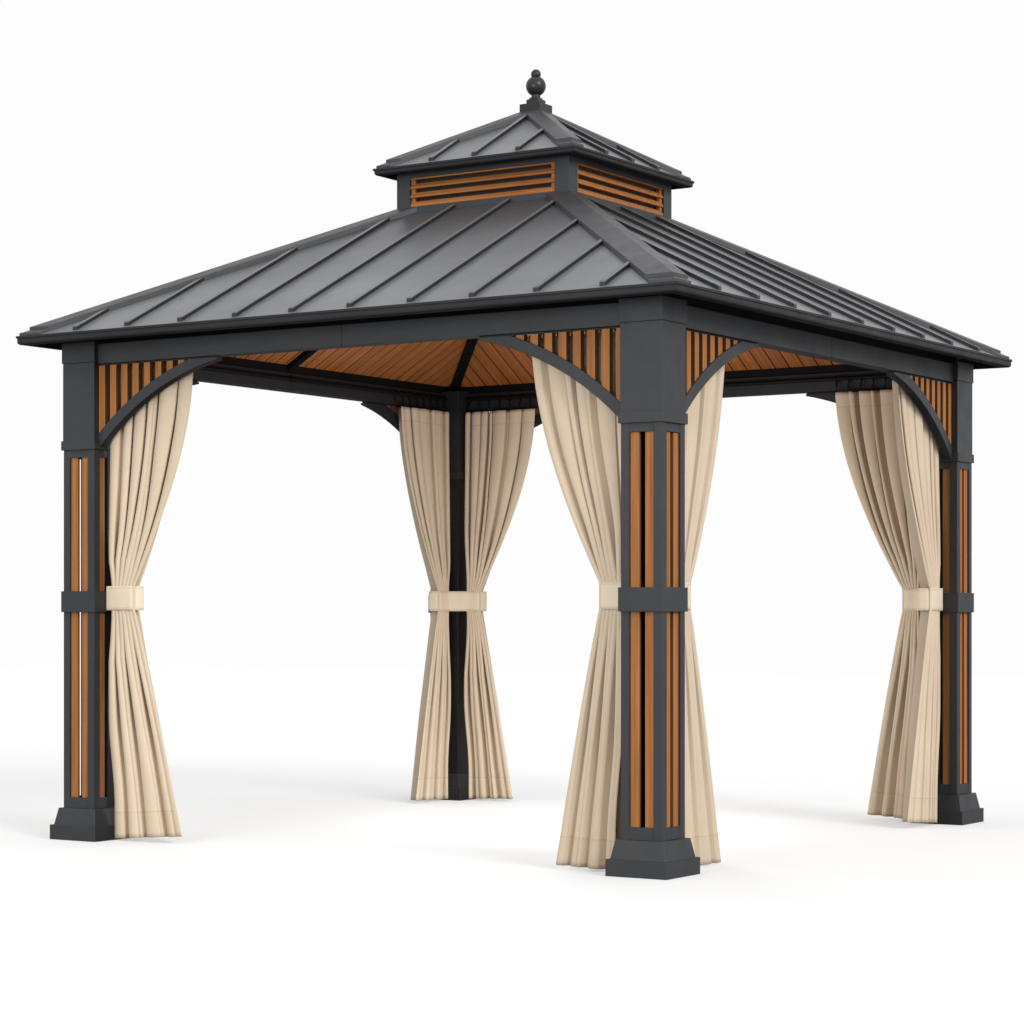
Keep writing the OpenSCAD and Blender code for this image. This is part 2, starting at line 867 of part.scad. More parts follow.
at_corner(0) post_frame();  // post_frame_front_right
at_corner(1) post_frame();  // post_frame_back_right
at_corner(2) post_frame();  // post_frame_back_left
at_corner(3) post_frame();  // post_frame_front_left
at_corner(0) post_slats();  // post_slats_front_right
at_corner(1) post_slats();  // post_slats_back_right
at_corner(2) post_slats();  // post_slats_back_left
at_corner(3) post_slats();  // post_slats_front_left
post_bases();
post_bands();
post_heads();
corner_caps();
at_side(0) beam();  // beam_front
at_side(1) beam();  // beam_right
at_side(2) beam();  // beam_back
at_side(3) beam();  // beam_left
wall_plates();
at_side(0) braces();  // braces_front
at_side(1) braces();  // braces_right
at_side(2) braces();  // braces_back
at_side(3) braces();  // braces_left
at_side(0) brace_slats();  // brace_slats_front
at_side(1) brace_slats();  // brace_slats_right
at_side(2) brace_slats();  // brace_slats_back
at_side(3) brace_slats();  // brace_slats_left
at_side(0) roof_panel(rib_pitch);  // roof_panel_front
at_side(1) roof_panel(side_rib_pitch);  // roof_panel_right
at_side(2) roof_panel(rib_pitch);  // roof_panel_back
at_side(3) roof_panel(side_rib_pitch);  // roof_panel_left
hip_caps();
eave_trim();
ceiling();
rafters();
cupola_frame();
cupola_louvres();
cupola_roof();
cupola_hip_caps();
cupola_trim();
finial();
curtain_rails();
at_side(0) curtains();  // curtains_front
at_side(1) curtains();  // curtains_right
at_side(2) curtains();  // curtains_back
at_side(3) curtains();  // curtains_left
curtain_ties();
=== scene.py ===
import math

import bmesh
import bpy
import numpy as np
from mathutils import Matrix, Vector


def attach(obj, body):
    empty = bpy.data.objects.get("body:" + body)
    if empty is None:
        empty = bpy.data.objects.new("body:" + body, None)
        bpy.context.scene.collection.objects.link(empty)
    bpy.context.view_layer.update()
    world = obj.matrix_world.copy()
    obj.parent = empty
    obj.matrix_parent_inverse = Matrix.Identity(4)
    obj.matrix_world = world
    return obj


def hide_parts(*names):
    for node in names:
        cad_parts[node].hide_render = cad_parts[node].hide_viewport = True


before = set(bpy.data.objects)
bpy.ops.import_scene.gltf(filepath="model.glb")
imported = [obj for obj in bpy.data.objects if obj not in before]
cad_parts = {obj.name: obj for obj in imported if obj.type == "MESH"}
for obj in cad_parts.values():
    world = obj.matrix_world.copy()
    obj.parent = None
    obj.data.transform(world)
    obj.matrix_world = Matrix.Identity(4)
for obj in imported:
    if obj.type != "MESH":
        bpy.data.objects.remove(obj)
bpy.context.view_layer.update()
scene = bpy.context.scene

SIDES = ("front", "right", "back", "left")
# The posts at the two ends of each side, the right one as seen from outside first
ENDS = {
    "front": ("right", "left"), "right": ("back", "front"),
    "back": ("left", "right"), "left": ("front", "back"),
}
# First seeds of the chance values
CEILING_SEED, CURTAIN_SEED, TIE_SEED = 40, 100, 200

# Sizes of the CAD, in metres. Faces and radii are distances from the middle of the plan.
HEADER_Z = 2.250        # top of the curtains
HEM_Z = 0.015           # bottom of the curtains
TIE_Z = 1.094           # lower edge of the ties
TIE_TOP = 1.210         # upper edge of the ties
BAND_FACE = 1.437       # face of a post band towards the opening
CORE_FACE = 1.546       # outer face of the core of a post
BEAM_FACE = 1.620       # outer face of the beams
CURTAIN_R = 1.522       # middle of a curtain's depth
CURTAIN_EDGE = 1.4285   # edge of a curtain beside its post
BASE_EDGE = 1.3945      # the same edge beside the post's base
GATHER_D = 0.078        # depth of a curtain from its top to its tie
HEM_D = 0.097           # depth of a curtain at its hem
ROD_AT = 1.522          # middle of a curtain rail
ROD_Z = 2.326
PLATE_FACE = 1.550      # face of the wall plates that the ceiling meets
CUP_R = 0.497           # outer face of the cupola
SCREEN_FACE = 0.466     # outer face of the screens behind the cupola's blades
BOARD_T = 0.015         # thickness of the ceiling
BRACKET_TOP = 2.2575    # height from which the top of the bracket slats gets painted shade
# Height of each plane over the middle of the plan, and its fall for each metre outwards
MAIN_TOP, MAIN_FALL = 3.29446, 0.49858
CUP_TOP, CUP_FALL = 3.5838, 0.55431
CEILING_TOP, CEILING_FALL = 3.33556, 0.59133


# Camera, floor and light

# The camera that was fitted to the photo
LENS_MM = 86.61
SENSOR_MM = 36.0
LENS_SHIFT = 0.10075
CAMERA_AT = (6.5533, -10.3999, 1.0714)
CAMERA_TURN = math.radians(32.772)
CAMERA_REACH = 200

MIDDLE = (0, 0, 1.3)
UNDER_BEAMS = (0, 0, 1.6)
FLOOR_R = 30
FLOOR_Z = -0.0005


def add_camera():
    data = bpy.data.cameras.new("camera")
    data.lens = LENS_MM
    data.sensor_width = SENSOR_MM
    data.sensor_fit = "HORIZONTAL"
    data.shift_y = LENS_SHIFT
    data.clip_end = CAMERA_REACH
    cam = bpy.data.objects.new("camera", data)
    cam.location = CAMERA_AT
    cam.rotation_euler = (math.pi / 2, 0, CAMERA_TURN)
    scene.collection.objects.link(cam)
    scene.camera = cam


def add_light(name, kind, energy, location, target, size):
    """A light aimed at a target. Its size is an angle for a sun, and a length for the others."""
    data = bpy.data.lights.new(name, kind)
    data.energy = energy
    if kind == "AREA":
        data.shape = "DISK"
        data.size = size
    elif kind == "POINT":
        data.shadow_soft_size = size
    else:
        data.angle = size
    light = bpy.data.objects.new(name, data)
    light.location = location
    aim = Vector(target) - Vector(location)
    light.rotation_euler = aim.to_track_quat("-Z", "Y").to_euler()
    scene.collection.objects.link(light)


def add_world(seen, light):
    """A white backdrop, and the strength of the soft light that it gives."""
    world = bpy.data.worlds.new("studio")
    scene.world = world
    world.use_nodes = True
    tree = world.node_tree
    background = tree.nodes["Background"]
    background.inputs["Color"].default_value = (1, 1, 1, 1)
    path = tree.nodes.new("ShaderNodeLightPath")
    strength = tree.nodes.new("ShaderNodeMapRange")
    strength.inputs["To Min"].default_value = light
    strength.inputs["To Max"].default_value = seen
    tree.links.new(path.outputs["Is Camera Ray"], strength.inputs["Value"])
    tree.links.new(strength.outputs[0], background.inputs["Strength"])


# Material helpers

# Most values of a noise texture lie between these two
NOISE_LOW, NOISE_HIGH = 0.3, 0.7


def times(color, factor):
    return tuple(v * factor for v in color)


class Nodes:
    """Short calls for building a material's node tree."""

    def __init__(self, name):
        self.material = bpy.data.materials.new(name)
        self.material.use_nodes = True
        self.tree = self.material.node_tree
        self.shader = self.tree.nodes["Principled BSDF"]
        self.place = self.add("ShaderNodeTexCoord").outputs["Object"]
        self.normal = self.add("ShaderNodeNewGeometry").outputs["Normal"]

    def add(self, kind, **settings):
        node = self.tree.nodes.new(kind)
        for key, value in settings.items():
            setattr(node, key, value)
        return node

    def put(self, socket, value):
        """Links a socket to another, or sets its value."""
        if isinstance(value, bpy.types.NodeSocket):
            self.tree.links.new(value, socket)
        else:
            socket.default_value = value

    def math(self, operation, a, b=0.0, clamp=False):
        node = self.add("ShaderNodeMath", operation=operation, use_clamp=clamp)
        self.put(node.inputs[0], a)
        self.put(node.inputs[1], b)
        return node.outputs[0]

    def absolute(self, value):
        return self.math("ABSOLUTE", value)

    def product(self, a, b):
        return self.math("MULTIPLY", a, b)

    def weighted(self, first, *others):
        """Sum of values, each given with its weight."""
        total = self.product(*first)
        for value, weight in others:
            total = self.math("ADD", total, self.product(value, weight))
        return total

    def wave(self, value, length):
        """Sine of a distance, with the length of one wave."""
        return self.math("SINE", self.product(value, 2 * math.pi / length))

    def scaled(self, vector, scale):
        node = self.add("ShaderNodeMapping")
        self.put(node.inputs["Vector"], vector)
        node.inputs["Scale"].default_value = scale
        return node.outputs[0]

    def noise(self, scale, detail, vector=None, rough=0.5):
        """Noise with a scale for each metre, or over a vector that is scaled already."""
        node = self.add("ShaderNodeTexNoise")
        self.put(node.inputs["Vector"], self.place if vector is None else vector)
        node.inputs["Scale"].default_value = scale
        node.inputs["Detail"].default_value = detail
        node.inputs["Roughness"].default_value = rough
        return node.outputs["Fac"]

    def span(self, value, low, high, out_low=0.0, out_high=1.0):
        node = self.add("ShaderNodeMapRange")
        for socket, v in zip(node.inputs, (value, low, high, out_low, out_high)):
            self.put(socket, v)
        return node.outputs[0]

    def varied(self, noise, low, high):
        """A value that follows a noise between two limits."""
        return self.span(noise, NOISE_LOW, NOISE_HIGH, low, high)

    def ramp(self, value, *stops):
        node = self.add("ShaderNodeValToRGB")
        self.put(node.inputs[0], value)
        points = node.color_ramp.elements
        while len(points) < len(stops):
            points.new(0.5)
        for point, (at, color) in zip(points, stops):
            point.position = at
            point.color = (*color, 1)
        return node.outputs[0]

    def mix(self, factor, a, b):
        node = self.add("ShaderNodeMix", data_type="RGBA")
        self.put(node.inputs["Factor"], factor)
        for socket, v in ((node.inputs[6], a), (node.inputs[7], b)):
            self.put(socket, v if isinstance(v, bpy.types.NodeSocket) else (*v, 1))
        return node.outputs[2]

    def bump(self, height, distance, strength, normal=None):
        node = self.add("ShaderNodeBump")
        self.put(node.inputs["Height"], height)
        node.inputs["Distance"].default_value = distance
        node.inputs["Strength"].default_value = strength
        if normal is not None:
            self.put(node.inputs["Normal"], normal)
        return node.outputs[0]

    def parts(self, vector):
        """The X, Y and Z of a vector."""
        node = self.add("ShaderNodeSeparateXYZ")
        self.put(node.inputs[0], vector)
        return node.outputs

    def stored(self, name):
        """A value that the mesh holds under a name."""
        return self.add("ShaderNodeAttribute", attribute_name=name).outputs["Fac"]

    def flat_place(self, name):
        """Place on the flat cloth or board, in metres, from a UV map."""
        return self.add("ShaderNodeUVMap", uv_map=name).outputs[0]

    def finish(self, color, rough, normal=None, **uniform):
        self.put(self.shader.inputs["Base Color"], color)
        self.put(self.shader.inputs["Roughness"], rough)
        if normal is not None:
            self.put(self.shader.inputs["Normal"], normal)
        for key, value in uniform.items():
            self.shader.inputs[key.replace("_", " ")].default_value = value
        return self.material


def plan_reach(n):
    """Distance of a place from the middle of the square plan, as the larger of X and Y."""
    x, y, _ = n.parts(n.place)
    return n.math("MAXIMUM", n.absolute(x), n.absolute(y))


def facing_in(n):
    """1 on faces that look towards the middle of the plan, 0 on the others."""
    towards = n.add("ShaderNodeVectorMath", operation="NORMALIZE")
    n.put(towards.inputs[0], n.scaled(n.place, (-1, -1, 0)))
    dot = n.add("ShaderNodeVectorMath", operation="DOT_PRODUCT")
    n.put(dot.inputs[0], towards.outputs[0])
    n.put(dot.inputs[1], n.normal)
    return n.span(dot.outputs["Value"], 0.2, 0.6)


def facing_down(n):
    """1 on undersides, 0 on the other faces."""
    return n.span(n.parts(n.normal)[2], -0.5, -0.9)


def slat_sides(n):
    """1 on the narrow sides of an upright slat, 0 on its face."""
    x, y, _ = n.parts(n.place)
    normal_x, normal_y, _ = n.parts(n.normal)
    along_x = n.math("LESS_THAN", n.absolute(x), n.absolute(y))
    side_x = n.product(n.absolute(normal_x), along_x)
    side_y = n.product(n.absolute(normal_y), n.math("SUBTRACT", 1.0, along_x))
    return n.span(n.math("ADD", side_x, side_y), 0.5, 0.8)


# Materials. Colours are linear, and lengths are in metres.

DEEP_SHADE = (0.004, 0.004, 0.0045)
# Dark and light tone of each coat, and of each wood-look print
COAT = (0.029, 0.031, 0.035), (0.037, 0.039, 0.044)
TRIM_COAT = (0.016, 0.0165, 0.018), (0.022, 0.0225, 0.025)
HIP_COAT = (0.040, 0.041, 0.045), (0.054, 0.055, 0.060)
# The frame's coat with painted shade: near-black, for the parts under the roof
INNER_SHADE_COAT = (0.005, 0.005, 0.0055), (0.008, 0.008, 0.0085)
FINIAL_COAT = (0.018, 0.0185, 0.020), (0.024, 0.0245, 0.0265)
SLAT_WOOD = (0.28, 0.100, 0.023), (0.43, 0.172, 0.047)
LOUVRE_WOOD = (0.29, 0.100, 0.022), (0.43, 0.168, 0.042)
# Painted shade along the top of the bracket slats, under the beams
BRACKET_TOP_SHADE = (0.02, 0.02, 0.021)
MAIN_SHEET = (0.142, 0.145, 0.154)
CUPOLA_SHEET = (0.165, 0.168, 0.177)
# Painted shade on the sides of the ribs, and on the pans towards the top of the roof
ROOF_SHADE = (0.018, 0.018, 0.020)
# Heights over a roof's plane from which a face is the side or the top of a rib
RIB_SIDE, RIB_TOP = 0.002, 0.0185
# Dark, middle and light tone of the ceiling, the tone that a board leans to, and the painted shade
# in the grooves
BOARD_WOOD = (0.24, 0.070, 0.011), (0.34, 0.108, 0.021), (0.45, 0.150, 0.032)
BOARD_TINT = (0.11, 0.04, 0.012)
GROOVE_SHADE = (0.010, 0.004, 0.002)
# Light and dark tone of each cloth
CURTAIN_TONES = (0.69, 0.56, 0.41), (0.61, 0.49, 0.355)
TIE_TONES = (0.80, 0.67, 0.51), (0.72, 0.60, 0.45)
THREAD_COLOR = (0.33, 0.25, 0.16)
# Length of one weave wave and of one sewn stitch
WEAVE = 0.0016
STITCH = 0.009
FLOOR_SEEN, FLOOR_LIT = (0.52, 0.52, 0.52), (0.30, 0.30, 0.30)
FLOOR_GLOW = 0.38
# Half the width of the groove in a beam's splice, and how far its floor lies in at least
SPLICE_HALF, SPLICE_SINK = 0.0072, 0.001
# How far past a face still counts as that face
HAIR = 0.0004


def coated_metal(name, dark, light, rough=(0.46, 0.58), shade_inside=None, splice=None, shine=0.35):
    """Powder coat: a fine orange peel, a slow change of tone and gloss, and painted shade inside
    and below.

    What is nearer to the middle of the plan than shade_inside gets near-black painted shade, and so
    does the groove in the middle of a beam whose outer face is at the distance splice.
    """
    n = Nodes(name)
    peel = n.noise(420.0, 2.0)
    tone = n.weighted((n.noise(1.6, 3.0), 0.8), (peel, 0.2))
    color = n.ramp(tone, (0.35, dark), (0.65, light))
    # Painted shade: the groove in the middle of a beam's splice is near-black
    if splice is not None:
        x, y, _ = n.parts(n.place)
        across = n.math("MINIMUM", n.absolute(x), n.absolute(y))
        middle = n.math("LESS_THAN", across, SPLICE_HALF)
        behind = n.math("LESS_THAN", plan_reach(n), splice - SPLICE_SINK)
        color = n.mix(n.product(middle, behind), color, DEEP_SHADE)
    # Painted shade: what lies nearer to the middle of the plan than this distance is near-black
    if shade_inside is not None:
        inside = n.math("LESS_THAN", plan_reach(n), shade_inside + HAIR)
        color = n.mix(inside, color, DEEP_SHADE)
    # Painted shade: faces that look towards the middle of the plan, and undersides, darken to
    # near-black
    down = facing_down(n)
    shaded = n.math("MAXIMUM", n.product(facing_in(n), 0.6), n.product(down, 0.8))
    color = n.mix(shaded, color, DEEP_SHADE)
    gloss = n.varied(n.noise(9.0, 4.0), *rough)
    gloss = n.math("ADD", gloss, n.product(down, 0.5), clamp=True)
    return n.finish(color, gloss, n.bump(peel, 0.00012, 0.5), Specular_IOR_Level=shine)


def stretched(along, slow, fast):
    """Scale of a noise that changes slowly along one axis."""
    return tuple(slow if axis == along else fast for axis in "XYZ")


def wood_look(name, along, dark, light, shade_above=None, shade_sides=0.0):
    """Printed wood look: streaks along one axis over slow bands of tone and dark clouds.

    What lies above shade_above gets near-black painted shade. shade_sides is how much painted shade
    darkens the narrow sides of slats; when it is set, faces that look inwards get painted shade
    too.
    """
    n = Nodes(name)
    band = n.noise(1.0, 3.0, n.scaled(n.place, stretched(along, 1.6, 60)))
    streak = n.noise(1.0, 2.0, n.scaled(n.place, stretched(along, 5, 420)), 0.6)
    tone = n.weighted((band, 0.72), (streak, 0.28))
    middle = tuple((a + b) / 2 for a, b in zip(dark, light))
    color = n.ramp(tone, (0.36, dark), (0.5, middle), (0.64, light))
    clouds = n.span(n.noise(2.2, 2.0), 0.35, 0.65, 0.0, 0.12)
    color = n.mix(clouds, color, times(dark, 0.55))
    # Painted shade under the beams: the top of the slats is near-black
    if shade_above is not None:
        above = n.math("GREATER_THAN", n.parts(n.place)[2], shade_above)
        color = n.mix(above, color, BRACKET_TOP_SHADE)
    # Painted shade on the narrow sides of the slats, and on faces that look towards the middle of
    # the plan
    if shade_sides:
        sides = n.product(slat_sides(n), shade_sides)
        shaded = n.math("MAXIMUM", sides, n.product(facing_in(n), 0.5))
        color = n.mix(shaded, color, times(dark, 0.12))
    gloss = n.varied(streak, 0.5, 0.66)
    return n.finish(color, gloss, n.bump(streak, 0.0002, 0.5), Specular_IOR_Level=0.3)


def roof_sheet(name, top, fall, sheet, shade):
    """Coated steel sheet: ribs with paler tops and painted shade on their sides, and pans that
    darken upwards with painted shade.

    top and fall give the roof's plane, and shade the distances between which the pans darken.
    """
    n = Nodes(name)
    reach = plan_reach(n)
    plane = n.math("SUBTRACT", top, n.product(reach, fall))
    over = n.math("SUBTRACT", n.parts(n.place)[2], plane)
    pan = n.ramp(n.noise(1.3, 3.0), (0.35, times(sheet, 0.92)), (0.65, times(sheet, 1.08)))
    # Painted shade: the pans darken towards the top of the roof
    pan = n.mix(n.span(reach, *shade, 0.72, 0.0), pan, ROOF_SHADE)
    # Painted shade on the sides of the ribs
    color = n.mix(n.math("GREATER_THAN", over, RIB_SIDE), pan, ROOF_SHADE)
    color = n.mix(n.math("GREATER_THAN", over, RIB_TOP), color, times(sheet, 0.8))
    gloss = n.varied(n.noise(5.0, 4.0), 0.32, 0.42)
    waves = n.bump(n.noise(2.4, 1.0), 0.0015, 0.35)
    peel = n.bump(n.noise(500.0, 2.0), 0.0001, 0.4, waves)
    return n.finish(color, gloss, peel, Specular_IOR_Level=0.4)


def board_wood(name):
    """Ceiling boards: grain along each board, one tone per board, and painted shade in the grooves.
    """
    n = Nodes(name)
    uv = n.flat_place("boards")
    band = n.noise(1.0, 3.0, n.scaled(uv, (46, 1.5, 1)))
    streak = n.noise(1.0, 2.0, n.scaled(uv, (330, 5, 1)), 0.6)
    tone = n.weighted((band, 0.65), (streak, 0.35))
    color = n.ramp(tone, *zip((0.36, 0.5, 0.64), BOARD_WOOD))
    color = n.mix(n.product(n.stored("tint"), 0.3), color, BOARD_TINT)
    # Painted shade in the grooves between the boards
    color = n.mix(n.stored("groove"), color, GROOVE_SHADE)
    return n.finish(color, n.varied(streak, 0.42, 0.56), n.bump(streak, 0.0002, 0.5))


def cloth(name, light, dark):
    """Woven polyester: a fine plain weave, slubs, soft clouds, painted shade in the creases and
    sewn lines.
    """
    n = Nodes(name)
    uv = n.flat_place("cloth")
    across, down, _ = n.parts(uv)
    weave = n.product(n.math("ADD", n.wave(across, WEAVE), n.wave(down, WEAVE)), 0.5)
    slub = n.noise(1.0, 3.0, n.scaled(uv, (900, 60, 1)))
    slub_across = n.noise(1.0, 3.0, n.scaled(uv, (60, 900, 1)))
    tone = n.weighted((slub, 0.3), (slub_across, 0.3), (n.noise(3.0, 3.0), 0.4))
    color = n.ramp(tone, (0.38, dark), (0.6, light))
    # Painted shade, deepest in the folds of the cloth
    color = n.mix(n.product(n.stored("fold_shade"), 0.5), color, times(dark, 0.42))
    dash = n.math("GREATER_THAN", n.wave(across, STITCH), -0.35)
    sewn = n.product(n.product(n.stored("stitch"), dash), 0.45)
    color = n.mix(sewn, color, THREAD_COLOR)
    height = n.math("ADD", n.product(weave, 0.5), slub)
    return n.finish(
        color, n.varied(slub, 0.78, 0.92), n.bump(height, 0.0003, 0.35),
        Sheen_Weight=0.25, Sheen_Roughness=0.45, Specular_IOR_Level=0.25
    )


def floor_paint(name):
    """A floor that looks pale and throws little light up under the roof."""
    n = Nodes(name)
    seen = n.add("ShaderNodeLightPath").outputs["Is Camera Ray"]
    n.put(n.shader.inputs["Emission Color"], n.mix(seen, (0, 0, 0), (1, 1, 1)))
    return n.finish(n.mix(seen, FLOOR_LIT, FLOOR_SEEN), 0.9, Emission_Strength=FLOOR_GLOW)


# Mesh helpers

def piece(name, verts, faces, material, replaces=(), smooth=True):
    mesh = bpy.data.meshes.new(name)
    mesh.from_pydata([tuple(v) for v in verts], [], [tuple(f) for f in faces])
    mesh.materials.append(material)
    mesh.polygons.foreach_set("use_smooth", [smooth] * len(mesh.polygons))
    mesh.update()
    obj = bpy.data.objects.new(name, mesh)
    scene.collection.objects.link(obj)
    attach(obj, "root")
    if replaces:
        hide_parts(*replaces)
    return obj


def thicken(obj, thickness):
    """Gives a sheet its thickness, half to each side."""
    solid = obj.modifiers.new("thickness", "SOLIDIFY")
    solid.thickness = thickness
    solid.offset = 0.0


def add_point_value(obj, name, values):
    layer = obj.data.attributes.new(name, "FLOAT", "POINT")
    layer.data.foreach_set("value", np.asarray(values, dtype=np.float32).ravel())


def add_uv(obj, name, coords):
    """Gives each corner of a face the coordinates of its vertex."""
    layer = obj.data.uv_layers.new(name=name)
    corner = np.empty(len(obj.data.loops), dtype=np.int32)
    obj.data.loops.foreach_get("vertex_index", corner)
    layer.data.foreach_set("uv", np.asarray(coords, dtype=np.float32)[corner].ravel())


def grid_faces(rows, columns, flip=False):
    faces = []
    for j in range(rows - 1):
        for i in range(columns - 1):
            a = j * columns + i
            quad = (a, a + 1, a + columns + 1, a + columns)
            faces.append(quad[::-1] if flip else quad)
    return faces


def turned(points, side, mirror):
    """Takes points made for the right end of the front to one end of another side."""
    points = np.array(points, dtype=float)
    if mirror:
        points[:, 0] *= -1
    turn = Matrix.Rotation(math.radians(90 * SIDES.index(side)), 3, "Z")
    return points @ np.array(turn).T


def unit_tangents(path):
    tangent = np.gradient(path, axis=0)
    return tangent / np.linalg.norm(tangent, axis=1)[:, None]


def tube(path, radius, segments=6, closed=False):
    """Vertices and faces of a round tube along a list of points."""
    path = [Vector(p) for p in path]
    count = len(path)
    # Any direction that no part of a path runs along
    aside = Vector((0.3, 0.9, 0.2))
    verts, faces = [], []
    for k, p in enumerate(path):
        before = path[(k - 1) % count] if closed or k else p
        after = path[(k + 1) % count] if closed or k < count - 1 else p
        axis = (after - before).normalized()
        side = axis.cross(aside).normalized()
        up = side.cross(axis)
        for s in range(segments):
            a = 2 * math.pi * s / segments
            verts.append(p + radius * (math.cos(a) * side + math.sin(a) * up))
    for k in range(count if closed else count - 1):
        here, there = k * segments, (k + 1) % count * segments
        for s in range(segments):
            t = (s + 1) % segments
            faces.append((here + s, here + t, there + t, there + s))
    if not closed:
        faces.append(tuple(range(segments))[::-1])
        faces.append(tuple((count - 1) * segments + s for s in range(segments)))
    return verts, faces


def joined(parts):
    verts, faces = [], []
    for v, f in parts:
        start = len(verts)
        verts += list(v)
        faces += [tuple(start + i for i in face) for face in f]
    return verts, faces


# Curtains

# Size of the flat cloth, and its thickness
CLOTH_W, CLOTH_H = 1.45, HEADER_Z - HEM_Z + 0.01
CLOTH_T = 0.0016
FOLDS = 6
PANEL_STEPS, TURN_STEPS, WALL_STEPS, CURL_STEPS = 16, 5, 6, 8
# Widths of a curtain at its heading, its tie and its hem, and the rise of its hem from the post
# to its free edge
USUAL_SHAPE = (0.50, 0.155, 0.38, 0.030)
SHAPES = {
    ("front", "right"): (0.475, 0.135, 0.345, 0.012),
    ("front", "left"): (0.512, 0.165, 0.45, 0.030),
    ("right", "front"): (0.512, 0.187, 0.46, 0.0),
    ("right", "back"): (0.50, 0.14, 0.40, 0.030),
    ("back", "right"): (0.50, 0.11, 0.31, 0.020),
    ("back", "left"): (0.48, 0.115, 0.34, 0.010),
    ("left", "back"): (0.48, 0.125, 0.36, 0.010),
}
# Chance values of a curtain: how early it spreads, the lean of its panels' lips and of its folds,
# the steps from panel to panel, and the depth of its shallowest fold half way up
BULGE = 0.5, 0.95
LIP_DEG = 32, 50
SLANT_DEG = 26, 34
STEP, STEP_RANGE = 0.2, (0.6, 1.2)
LEAST_LIVELY = 0.85
# How calm every second fold is near the heading
TOP_CALM = 0.8, 0.2
# How fast the folds change away from the tie, with 1 for a change that ends at the cloth's end:
# all of them below the tie, and their calm and their panels' shares above it
BELOW_RATE, CALM_RATE, SHARE_RATE = 1.2, 2.5, 1.5
# Powers that shape the spread above and below the tie, and the zone above it in which the folds
# differ in depth
ABOVE_POWER, BELOW_POWER, MID_POWER = 0.75, 0.92, 0.8
# Shares that the panels have of the spread cloth, dealt out by chance
TOP_SHARES = (0.25, 0.5, 0.8, 1.1, 1.4, 1.7, 1.9)
LOW_SHARES = (0.3, 0.5, 0.8, 1.1, 1.4, 1.7, 1.9)
# Sewn lines: their distance from the end of the cloth, the rows beside them, and how far they
# pull in
HEM_STITCH = 0.122
HEAD_STITCH = 0.078
STITCH_ROW = 0.005
STITCH_CLEAR = 0.008
STITCH_PULL = 0.0008
SAME_ROW = 0.001
# Height of the zones beside the ends and the tie in which the rows lie closer
ZONE = 0.16
HEM_ZONE = 0.17
# The heading sinks a little between its hooks, over this height
HEAD_DIP, HEAD_H = 0.003, 0.06
# How far the hem hangs below its CAD height
HEM_DROP = 0.009
# The edge beside the post draws in below this height, over this distance
DRAW_Z, DRAW_H = 0.6, 0.43

# Share of a row's depth that a fold takes, the steepest slope of its walls, and the power with
# which shallower folds get flatter
FOLD_DEPTH = 0.9
STEEPEST = math.radians(94)
STEEP_POWER = 0.4
# A calm fold: how much flatter its lips are, and how much shallower it is
CALM_LIP, CALM_DEPTH = 0.45, 0.5
# Radius at the mouth and at the bottom of a gathered fold, and its growth where the cloth opens
MOUTH_R, MOUTH_GROWTH = 0.0045, 0.004
BOTTOM_R, BOTTOM_GROWTH = 0.0035, 0.0015
# A radius takes at most this share of a fold's depth
RADIUS_SHARE = 0.3
LEAST_WALL = 0.0002
LEAST_PANEL = 0.02
# Painted shade at the end of a wall, as a share of the painted shade at its mouth
WALL_FOLD_SHADE = 0.7


def curtain_shape(side, end):
    return SHAPES.get((side, end), USUAL_SHAPE)


def eased(t):
    """0 below 0 and 1 above 1, with a soft passage between."""
    t = np.clip(t, 0, 1)
    return t * t * (3 - 2 * t)


def spread(t, bulge):
    """How far the cloth has spread, from 0 at the tie to 1 at its heading."""
    return bulge * math.sin(math.pi / 2 * t) + (1 - bulge) * t ** ABOVE_POWER


def curtain_width(z, bulge, header_w, waist_w, hem_w):
    if z >= TIE_TOP:
        return waist_w + (header_w - waist_w) * spread((z - TIE_TOP) / (HEADER_Z - TIE_TOP), bulge)
    if z <= TIE_Z:
        return waist_w + (hem_w - waist_w) * ((TIE_Z - z) / (TIE_Z - HEM_Z)) ** BELOW_POWER
    return waist_w


def curtain_depth(z):
    if z >= TIE_Z:
        return GATHER_D
    return GATHER_D + (HEM_D - GATHER_D) * (TIE_Z - z) / (TIE_Z - HEM_Z)


